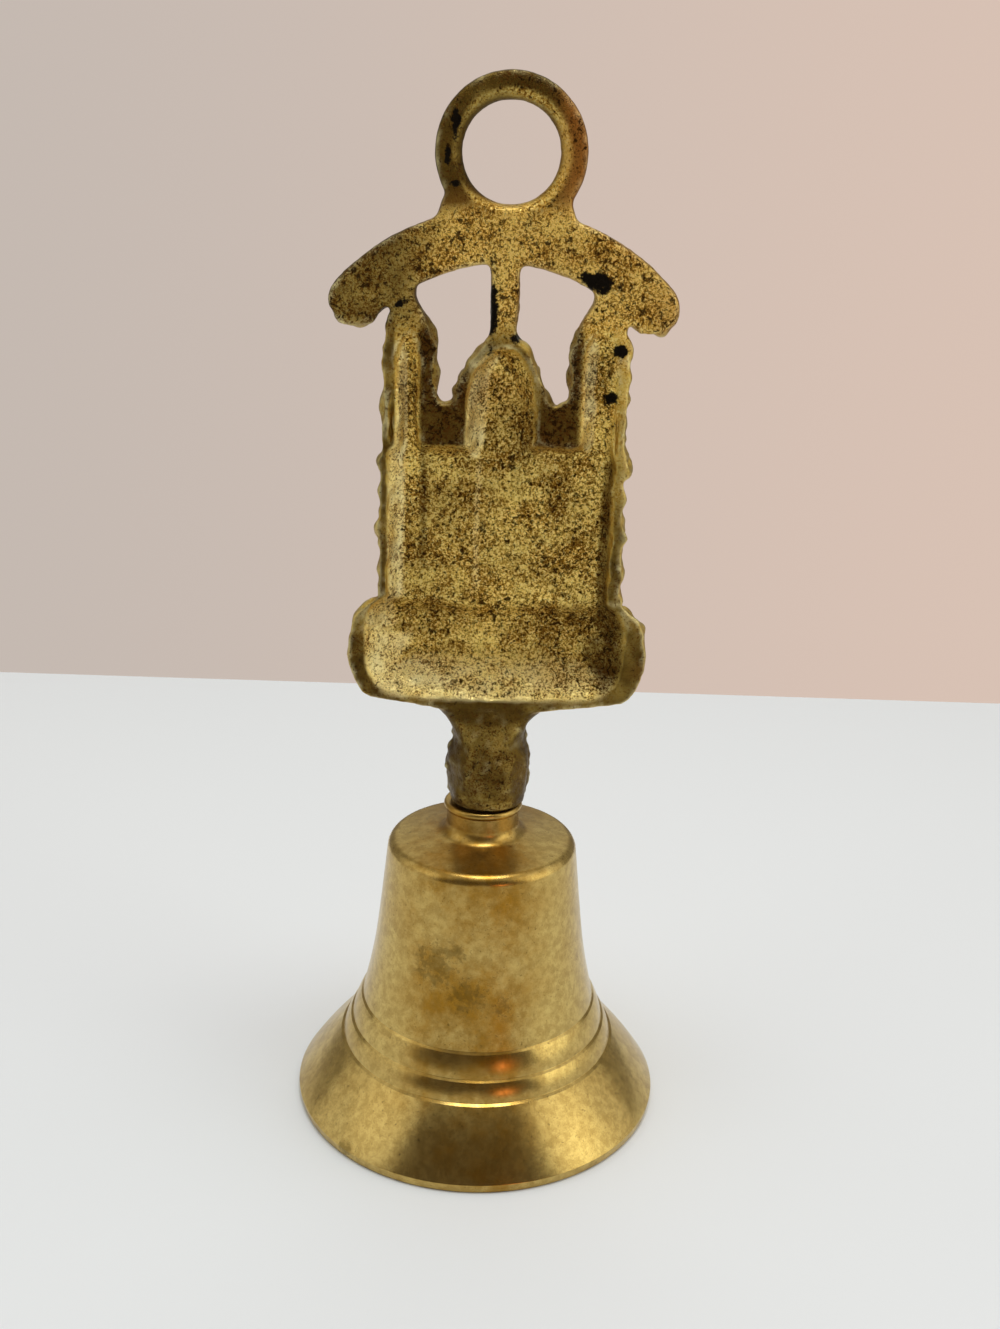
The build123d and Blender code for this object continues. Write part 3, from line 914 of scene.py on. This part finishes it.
class WearAndLight:
    """Masks of the handle's wear and of its painted light and shade, worked out from each point's place and
    normal.

    Args:
        points: Positions in millimetres.
        normals: Unit normals.
        inside: Distance inside the nearest hollow's outline.
        stains: The dark stains.
        ring_middle: Middle of the hanging ring.
    """

    def __init__(self, points: Values, normals: Values, inside: Values, stains: Sequence[Stain],
                 ring_middle: Point) -> None:
        self.points, self.stains = points, stains
        self.x, self.y, self.z = points.T
        x, z = self.x, self.z
        self.sideways, away, self.up = normals.T
        self.cloud = grain(points, 9.0, 5.0)
        self.small = grain(points, 2.2, 6.0)
        self.facing = smooth_step(0.55, 0.9, -away)
        self.front = smooth_step(0.2, 0.6, away)
        self.panel = band(z, 60, 63, 113, 118)
        self.yoke = band(z, 114, 118, 130, 134)
        self.ring = smooth_step(129, 132, z)
        self.neck = smooth_step(63, 61, z)
        self.left = smooth_step(-6, -14, x)
        self.sunk = smooth_step(0.0, 0.8, inside) * self.panel
        self.rim = self.panel * (1 - self.sunk)
        bore = np.hypot(x - ring_middle[0], z - ring_middle[1])
        self.flat = self.ring * smooth_step(7.2, 8.0, bore)
        between = band(x, -10.2, -9.2, -4.2, -3.2) + band(x, 5.8, 6.8, 10.8, 11.8)
        self.lands = smooth_step(99.0, 101.0, z) * self.rim * between
        # Painted light: hollow walls that face right and the upward slope of the bowl's scoop are made
        # paler, as if lit.
        wall = self.sunk * smooth_step(0.15, 0.45, self.sideways)
        scoop = band(z, 62, 64, 67, 72) * smooth_step(0.2, 0.5, self.up)
        lit = np.maximum(wall, scoop * (0.55 + 0.45 * smooth_step(2, -12, x)))
        self.pale = lit * (0.75 + 0.5 * self.small)

    def tarnish_and_shade(self) -> Values:
        """Olive tarnish on the rims, yoke, ring and neck, with painted shade on hollow walls that face left,
        and less of it on the lit walls and the scoop, which carry painted light.
        """
        x, z = self.x, self.z
        amount = 0.2 + 0.25 * self.cloud + 0.15 * self.small + 0.6 * self.neck
        amount += self.rim * (0.25 + 0.5 * self.facing) + (1 - self.facing) * (1 - self.panel) * 0.5
        amount += self.yoke * (0.6 * self.left - 0.2 * (1 - self.left))
        amount += self.flat * (0.85 + 0.3 * smooth_step(-2, -6, x))
        amount += (self.ring - self.flat) * (0.05 + 0.55 * smooth_step(4, -3, x) * smooth_step(130, 134, z))
        far_wall = smooth_step(12.5, 14.5, x) * smooth_step(101, 97, z)
        amount += self.lands * 0.15
        # Painted shade: hollow walls that face left are darker, the far right wall of the field most.
        amount += self.sunk * smooth_step(-0.12, -0.45, self.sideways) * (0.1 + 0.6 * far_wall)
        posts = 0.5 * smooth_step(10.8, 12.0, x) + 0.6 * band(x, -13.4, -13.0, -10.4, -9.8)
        amount -= self.panel * smooth_step(88, 102, z) * self.facing * posts
        amount += hill((x, -9.4, 0.42)) * band(z, 80, 86, 99, 102) * self.sunk * 0.5
        # Painted light: the lit walls and the scoop are made less dark.
        return amount - self.pale * 0.4

    def stain(self) -> Values:
        """Dark stains on the open side."""
        dark = np.zeros_like(self.x)
        for spot in self.stains:
            dx = (self.x - spot.x) / spot.half_width
            dz = (self.z - spot.z + spot.slope * (self.x - spot.x)) / spot.half_height
            reach = 1.0 - np.sqrt(dx * dx + dz * dz) + 0.55 * self.small
            dark = np.maximum(dark, smooth_step(-0.7, 0.75, reach))
        return dark * smooth_step(1.6, -0.4, self.y)

    def copper(self) -> Values:
        """Coppery tinge on the right of the ring, yoke and panel, and on the dome."""
        amount = smooth_step(6.0, 9.0, self.x) * smooth_step(128, 134, self.z) * 0.6
        amount += 0.25 * smooth_step(0.1, 0.6, self.cloud) * smooth_step(2, 12, self.x)
        amount += 0.22 * self.yoke * (1 - self.left)
        return amount + 0.2 * hill((self.x, 0.9, 3.4), (self.z, 107, 3.6))

    def smoothness_and_light(self) -> Values:
        """Where the sand left fewer pits, and fewer pits on the lit walls and the scoop as painted light."""
        amount = (self.rim - self.lands) * 0.7 + (1 - self.facing) * (1 - self.sunk) * 0.6
        return amount + self.ring * 0.4 + self.neck * 0.3 + 0.35 * self.front + self.pale * 0.45

    def worn_and_lit(self, bend: Values) -> Values:
        """Rubbed edges, partly painted highlights, painted light on the lit walls and the scoop, and pale
        specks on the neck.

        Args:
            bend: How far the averaged surface stands out, negative on an edge.

        Returns:
            One value a point.
        """
        # Rubbed edges: real wear, also made pale as painted highlights where light catches them.
        edges = smooth_step(-0.03, -0.11, bend) * (0.35 + 0.65 * grain(self.points, 1.6, 8.0))
        specks = self.neck * 0.14 * smooth_step(0.1, 0.7, grain(self.points, 1.1, 11.0))
        return np.maximum.reduce([edges, self.pale, specks])

    def masks(self, bend: Values) -> list[Values]:
        """Every mask, in the order of their names in WEAR_AND_LIGHT."""
        return [self.tarnish_and_shade(), self.stain(), self.copper(), self.smoothness_and_light(), self.worn_and_lit(bend)]


@dataclass(frozen=True)
class CastHandle:
    """The handle casting; lengths are in millimetres."""

    voxel: float = 0.34
    smoothing: int = 7
    dish_smoothing: int = 9
    panel_x: float = 1.45
    base_x: float = 1.35
    neck_bottom: float = 48.2
    back: float = -2.0
    ring_middle: Point = (1.3, 137.2)
    field_box: BoxOutline = BoxOutline((-14.4, 70.0), (16.7, 100.4), 2.0)
    lands: tuple[BoxOutline, ...] = (
        BoxOutline((-9.7, 100.4), (-3.7, 130.0), 2.0),
        BoxOutline((6.3, 100.6), (11.3, 130.0), 1.9),
    )
    channels: tuple[Channel, ...] = (
        Channel(-11.5, 1.7, 109.6, 114.5, reach=1.5, spread=0.03),
        Channel(13.9, 2.4, 111.0, 115.4, reach=2.2),
        Channel(0.85, 4.75, 105.6, 113.1, reach=2.9, spread=0.05, floor=2.9, deeper=0.0),
    )
    bowl: BoxOutline = BoxOutline((-17.5, 64.2), (19.3, 79.8), 5.5)
    flange: BoxOutline = BoxOutline((-18.4, 62.6), (21.2, 79.0), 6.0)
    reliefs: tuple[Relief, ...] = (
        Relief(4.0, 1.0, 0.1, 0.5),
        Relief(1.9, 2.0, 0.05, 0.75),
        Relief(0.85, 3.0, 0.07, 0.0),
    )
    stains: tuple[Stain, ...] = (
        Stain(13.4, 121.6, 2.6, 1.2, 0.25),
        Stain(11.6, 122.4, 1.6, 0.7),
        Stain(-12.6, 118.4, 1.3, 0.7, -0.5),
        Stain(-0.5, 118.5, 0.9, 4.6),
        Stain(2.4, 114.2, 0.8, 0.7),
        Stain(16.4, 113.2, 1.0, 0.8),
        Stain(15.4, 107.0, 1.1, 0.8),
        Stain(-5.8, 140.2, 0.55, 1.7),
        Stain(-6.7, 136.6, 0.45, 1.3),
        Stain(-5.7, 133.3, 0.8, 0.45),
        Stain(11.3, 93.6, 1.0, 0.45, 0.3),
        Stain(10.4, 94.6, 0.5, 0.4),
    )

    def remeshed(self, source: Mesh) -> Mesh:
        """Even quads over the solid's surface."""
        holder = placed("handle_source", source)
        modifier = holder.modifiers.new("Remesh", "REMESH")
        modifier.mode = "VOXEL"
        modifier.voxel_size = self.voxel * MM
        modifier.use_smooth_shade = True
        return baked(holder)

    @staticmethod
    def read(mesh: Mesh, name: str) -> Values:
        """One vector a vertex, by the name of its property."""
        flat = np.empty(len(mesh.vertices) * 3)
        mesh.vertices.foreach_get(name, flat)
        return flat.reshape(-1, 3)

    @staticmethod
    def store(mesh: Mesh, points: Values) -> None:
        """Writes positions in millimetres back to the mesh."""
        mesh.vertices.foreach_set("co", (points * MM).ravel())
        mesh.update()

    @staticmethod
    def softened(mesh: Mesh, points: Values, rounds: int, share: Values | float = 1.0) -> Values:
        """Averages each vertex with its neighbours a few times.

        Args:
            mesh: Gives the edges between the vertices.
            points: Positions in millimetres.
            rounds: How many times.
            share: How much of each step a vertex takes, from 0 to 1.

        Returns:
            The new positions.
        """
        step = 0.55 * (np.asarray(share).reshape(-1, 1) if np.ndim(share) else share)
        flat = np.empty(len(mesh.edges) * 2, int)
        mesh.edges.foreach_get("vertices", flat)
        first, second = flat.reshape(-1, 2).T
        count = len(points)
        links = np.bincount(first, minlength=count) + np.bincount(second, minlength=count)
        for _ in range(rounds):
            total = np.zeros_like(points)
            for axis in range(3):
                total[:, axis] = np.bincount(first, points[second, axis], count)
                total[:, axis] += np.bincount(second, points[first, axis], count)
            points = points * (1 - step) + total / links[:, None] * step
        return points

    @staticmethod
    def dished(inside: Values, reach: Values | float, deep: Values | float, ease: float = 2.0) -> Values:
        """Depth of a hollow that falls from its edge and levels out softly.

        Args:
            inside: Distance inside the hollow's outline, in millimetres.
            reach: How far in it takes to level out.
            deep: Depth of its floor.
            ease: 1 for a straight slope, more for one that is steep at first.

        Returns:
            The depth at each place.
        """
        t = np.clip(inside / reach, 0.0, 1.0)
        return deep * (1.0 - (1.0 - t) ** ease)

    def hollow_depth(self, x: Values, z: Values) -> tuple[Values, Values]:
        """Depth of the hollows behind the panel and the base.

        Args:
            x: Across, in millimetres.
            z: Up, in millimetres.

        Returns:
            Depth below the rim, and distance inside the nearest outline.
        """
        lands = np.maximum.reduce([land.inside(x, z) for land in self.lands])
        field_in = np.minimum(self.field_box.inside(x, z), -lands)
        bend = 0.5 * np.clip(1.0 - ((x - self.base_x) / 21.0) ** 2, 0, 1)
        bowl = self.bowl.inside(x, z + bend)
        side = smooth_step(self.panel_x - 4, self.panel_x + 4, x)
        depth = self.dished(field_in, 2.3 - 0.9 * side, 2.5, 1.35)
        lower = smooth_step(107.0, 97.0, z)
        outlines = [field_in, bowl]
        for channel in self.channels:
            inside = channel.inside(x, z)
            outlines.append(inside)
            deep = channel.floor + channel.deeper * lower
            depth = np.maximum(depth, self.dished(inside, channel.reach, deep, 1.4))
        spoon = self.dished(bowl, np.where(z < 73.0, 9.5, 5.0), 4.3)
        total = np.log(np.exp(3.0 * depth) + np.exp(3.0 * spoon) - 1.0) / 3.0
        return total, np.maximum.reduce(outlines)

    def hollowed(self, mesh: Mesh, points: Values) -> Values:
        """Sets the surface anew in the hollows and on the flange round the bowl."""
        x, _, z = points.T
        depth, inside = self.hollow_depth(x, z)
        filled = smooth_step(-0.35, 0.15, np.maximum(inside, self.flange.inside(x, z)))
        behind = smooth_step(-0.04, -0.2, self.read(mesh, "normal")[:, 1]) * filled
        points[:, 1] += (self.back + depth - points[:, 1]) * behind
        return self.softened(mesh, points, self.dish_smoothing, smooth_step(0.1, 0.8, behind))

    def fitted(self, source: Mesh, raw: Values, soft: Values) -> Values:
        """Puts the points below the neck back on the solid.

        Args:
            source: The solid's triangles.
            raw: The points before any softening.
            soft: The points now.

        Returns:
            The new positions.
        """
        surface = BVHTree.FromPolygons([v.co.copy() for v in source.vertices],
                                       [tuple(p.vertices) for p in source.polygons])
        free = smooth_step(self.neck_bottom - 0.1, self.neck_bottom + 1.2, raw[:, 2])
        points = soft.copy()
        for index in np.nonzero(free < 1.0)[0]:
            exact = surface.find_nearest(Vector(raw[index]) * MM)[0] / MM
            points[index] = soft[index] * free[index] + np.array(exact) * (1 - free[index])
        return points

    def roughened(self, points: Values, normals: Values) -> Values:
        """Pushes the surface in and out as a rough mould leaves it."""
        x, y, z = points.T
        free = smooth_step(self.neck_bottom, self.neck_bottom + 1.5, z)
        ragged = (1.0 - np.abs(normals[:, 1])) * band(z, 66, 78, 115, 120)
        ring = smooth_step(128, 131, z)
        stem = smooth_step(61.5, 59.5, z)
        height = grain(points, 2.6, 9.0) * 0.5 * stem
        for relief in self.reliefs:
            height += grain(points, relief.size, relief.shift) * (relief.plain + relief.edges * ragged)
        height *= 1.0 - 0.55 * ring
        seam = hill((y, 0.1, 0.35)) * band(z, 48.4, 49.4, 58, 60.5)
        flash = 0.25 + 0.75 * np.clip(grain(points, 1.3, 4.0) + 0.35, 0, 1)
        knob = hill((x, -5.4, 0.8), (z, 53.3, 0.75), (y, -0.8, 0.8))
        height += seam * flash * 0.55 + knob * 0.75
        return points + normals * (height * free)[:, None]

    def wear_and_light(self, mesh: Mesh, points: Values) -> None:
        """Writes the masks of its wear and of its painted light and shade to the mesh."""
        normals = self.read(mesh, "normal")
        inside = self.hollow_depth(points[:, 0], points[:, 2])[1]
        bend = ((self.softened(mesh, points, 5) - points) * normals).sum(axis=1)
        wear_and_light = WearAndLight(points, normals, inside, self.stains, self.ring_middle)
        for name, values in zip(WEAR_AND_LIGHT, wear_and_light.masks(bend)):
            layer = mesh.attributes.new(name, "FLOAT", "POINT")
            layer.data.foreach_set("value", np.clip(values, 0, 1).astype(np.float32))

    def build(self, node: Object, finish: Material) -> Object:
        """Makes the handle.

        Args:
            node: The handle's solid in the frame.
            finish: The cast brass.

        Returns:
            The finished piece.
        """
        source = merged(node.data.copy(), 1e-6)
        mesh = self.remeshed(source)
        raw = self.read(mesh, "co") / MM
        soft = self.softened(mesh, raw, self.smoothing)
        self.store(mesh, soft)
        points = self.fitted(source, raw, self.hollowed(mesh, soft))
        self.store(mesh, points)
        points = self.roughened(points, self.read(mesh, "normal"))
        low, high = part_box("handle")
        points = np.clip(points, np.array(low) / MM, np.array(high) / MM)
        self.store(mesh, points)
        self.wear_and_light(mesh, points)
        mesh.name = "handle_casting"
        mesh.materials.clear()
        mesh.materials.append(finish)
        piece = placed("handle_casting", mesh)
        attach(piece, Body.BELL.value)
        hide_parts("handle")
        return piece


# The clapper


@dataclass(frozen=True)
class Clapper:
    """The hanging parts inside the mouth; only its wire ring is made anew."""

    wire: float = 0.75
    ring_radius: float = 3.5
    ring_height: float = 28.686

    @staticmethod
    def dressed(node: Object, finish: Material, slot: Slot) -> None:
        """Gives a solid of the frame its finish.

        Args:
            node: The solid.
            finish: Its material.
            slot: Not used.
        """
        for holder in node.material_slots:
            holder.material = finish

    def wire_ring(self, spinner: SpinTree, finish: Material) -> Object:
        """The closed ring of wire in the tang."""
        section = [
            (self.ring_radius + self.wire * math.cos(a), self.wire * math.sin(a))
            for a in np.linspace(0, 2 * math.pi, 24, endpoint=False)
        ]
        turn = Matrix.Translation((0, 0, self.ring_height * MM)) @ Matrix.Rotation(math.pi / 2, 4, "X")
        piece = spinner.spin("wire_ring", section, finish, 72, turn)
        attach(piece, Body.RING.value)
        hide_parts("clapper_ring")
        return piece


# Camera, stage and lamps


@dataclass(frozen=True)
class View:
    """The photograph's viewpoint, fitted to the bell's rim, grooves and collar."""

    place: Corner = (1.848, -188.6, 132.829)
    pitch: float = 18.765
    roll: float = 1.805
    focal_pixels: float = 1400.0
    picture_height: float = 1329.0
    sensor: float = 36.0

    def build(self) -> None:
        """Makes the camera and gives it to the scene."""
        pitch, roll = math.radians(self.pitch), math.radians(self.roll)
        ahead = Vector((0, math.cos(pitch), -math.sin(pitch)))
        level_up = Vector((0, math.sin(pitch), math.cos(pitch)))
        right = math.cos(roll) * Vector((1, 0, 0)) + math.sin(roll) * level_up
        up = -math.sin(roll) * Vector((1, 0, 0)) + math.cos(roll) * level_up
        turn = Matrix((right, up, -ahead)).transposed()
        data = bpy.data.cameras.new("camera")
        data.sensor_width = self.sensor
        data.lens = self.sensor * self.focal_pixels / self.picture_height
        data.clip_start = 0.01
        data.clip_end = 20.0
        camera = placed("camera", data)
        camera.location = Vector(self.place) * MM
        camera.rotation_euler = turn.to_euler()
        bpy.context.scene.camera = camera


@dataclass(frozen=True)
class Glow:
    """A soft bright area of the room, as the metal mirrors it."""

    towards: Corner
    spread: float
    level: float
    colour: Colour = (1.0, 1.0, 1.0, 1.0)


@dataclass(frozen=True)
class Lamp:
    """A square soft lamp, in millimetres and watts, which looks at a point above the middle."""

    name: str
    place: Corner
    target: float
    size: float
    power: float
    colour: Corner

    def build(self) -> None:
        """Makes the lamp."""
        data = bpy.data.lights.new(self.name, "AREA")
        data.size = self.size * MM
        data.energy = self.power
        data.color = self.colour
        lamp = placed(self.name, data)
        place = Vector(self.place)
        lamp.location = place * MM
        lamp.rotation_euler = (Vector((0, 0, self.target)) - place).to_track_quat("-Z", "Y").to_euler()


@dataclass(frozen=True)
class Studio:
    """Pale table, pale walls and soft lamps."""

    table_colour: Colour = srgb(232, 238, 244)
    wall_left: Colour = srgb(196, 185, 177)
    wall_right: Colour = srgb(217, 194, 180)
    wall_mirrored: Colour = srgb(142, 137, 126)
    dim_room: Colour = srgb(106, 99, 90)
    ceiling: Colour = srgb(188, 185, 176)
    table_half: float = 770.0
    table_end: float = 182.0
    lamps: tuple[Lamp, ...] = (
        Lamp("left", (-700, -120, 400), 50, 900, 1.25, (0.98, 1.0, 1.0)),
        Lamp("right", (720, -100, 400), 50, 900, 1.45, (1.0, 0.99, 0.98)),
        Lamp("top", (30, -40, 660), 60, 260, 1.5, (1.0, 1.0, 0.98)),
    )
    glows: tuple[Glow, ...] = (
        Glow((-0.8, -0.28, 0.52), 27.0, 0.48, (1.0, 1.0, 0.9, 1.0)),
        Glow((0.8, -0.32, 0.52), 29.0, 0.78, (1.0, 1.0, 0.86, 1.0)),
        Glow((0.93, -0.3, 0.14), 30.0, 0.7, (0.97, 1.0, 0.84, 1.0)),
        Glow((0.4, -0.9, 0.12), 9.0, 3.2, (1.0, 0.42, 0.22, 1.0)),
        Glow((0.0, 0.75, 0.66), 45.0, 0.4, (0.98, 1.0, 0.95, 1.0)),
        Glow((0.0, -1.0, -0.02), 20.0, 0.35, (1.0, 0.98, 0.94, 1.0)),
    )

    def table(self) -> None:
        """The matt table, one flat rectangle of the stage."""
        material = bpy.data.materials.new("table")
        material.use_nodes = True
        surface = material.node_tree.nodes["Principled BSDF"].inputs
        surface["Base Color"].default_value = self.table_colour
        surface["Roughness"].default_value = 0.6
        surface["Specular IOR Level"].default_value = 0.2
        far, back = self.table_half * MM, self.table_end * MM
        mesh = bpy.data.meshes.new("table")
        mesh.from_pydata([(-far, -far, 0), (far, -far, 0), (far, back, 0), (-far, back, 0)], [],
                         [(0, 1, 2, 3)])
        mesh.materials.append(material)
        piece = placed("table", mesh)

    def build(self) -> None:
        """Makes the stage, its lamps and the room."""
        self.table()
        for lamp in self.lamps:
            lamp.build()
        bpy.context.scene.world = self.room()

    def room(self) -> bpy.types.World:
        """The room: pale walls, a ceiling, a dim side in front and soft glows of its windows."""
        world = bpy.data.worlds.new("room")
        world.use_nodes = True
        tree = Tree(world.node_tree)
        direction = tree.node("ShaderNodeTexCoord").outputs["Generated"]
        axes = tree.node("ShaderNodeSeparateXYZ")
        tree.link(direction, axes.inputs[0])
        across, ahead, rise = axes.outputs
        path = tree.node("ShaderNodeLightPath").outputs
        wall = tree.mix(tree.range(across, -0.45, 0.45), self.wall_left, self.wall_right)
        mirrored = tree.mix(path["Is Glossy Ray"], wall, self.wall_mirrored)
        towards = tree.range(ahead, 0.25, -0.55)
        above = tree.range(rise, 0.0, 0.22)
        colour = tree.mix(tree.times(towards, above), mirrored, self.dim_room)
        colour = tree.mix(tree.range(rise, 0.64, 0.9), colour, self.ceiling)
        background = world.node_tree.nodes["Background"]
        for glow in self.glows:
            aim = tree.node("ShaderNodeVectorMath", operation="DOT_PRODUCT")
            tree.link(direction, aim.inputs[0])
            aim.inputs[1].default_value = Vector(glow.towards).normalized()
            edge = math.cos(math.radians(glow.spread))
            share = tree.range(aim.outputs["Value"], edge, 1.0)
            share = tree.times(share, share)
            colour = tree.mix(tree.times(share, glow.level), colour, glow.colour, blend_type="ADD",
                              clamp_factor=False)
        tree.link(tree.mix(path["Is Camera Ray"], colour, wall), background.inputs["Color"])
        seen = tree.math("MAXIMUM", path["Is Camera Ray"], path["Is Glossy Ray"])
        seen = tree.math("MAXIMUM", seen, path["Is Transmission Ray"])
        tree.link(tree.range(seen, 0.0, 1.0, 0.9, 1.0), background.inputs["Strength"])
        return world


def main() -> None:
    """Builds every piece and reports it."""
    logging.basicConfig(level=logging.INFO, format="%(name)s: %(message)s")
    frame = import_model()
    View().build()
    Studio().build()
    bpy.context.scene.view_settings.view_transform = "Standard"
    nodes = frame["nodes"]
    groups = SharedGroups()
    spinner = SpinTree()
    clapper = Clapper()
    steel = PLAIN_STEEL.build(groups)
    ball = BALL_BRASS.build(groups)
    pieces = [
        TurnedBell().build(spinner, TurnedBrass().build(groups)),
        CastHandle().build(nodes["handle"], CastBrass().build(groups)),
        clapper.wire_ring(spinner, steel),
    ]
    for name, finish, slot in (("crown_washer", steel, Slot.STEEL), ("crown_nut", steel, Slot.STEEL),
                               ("clapper_rod", steel, Slot.STEEL), ("clapper_ball", ball, Slot.BALL)):
        clapper.dressed(nodes[name], finish, slot)
    for piece in pieces:
        LOG.info("%s: %d faces", piece.name, len(piece.data.polygons))


if __name__ == "__main__":
    main()
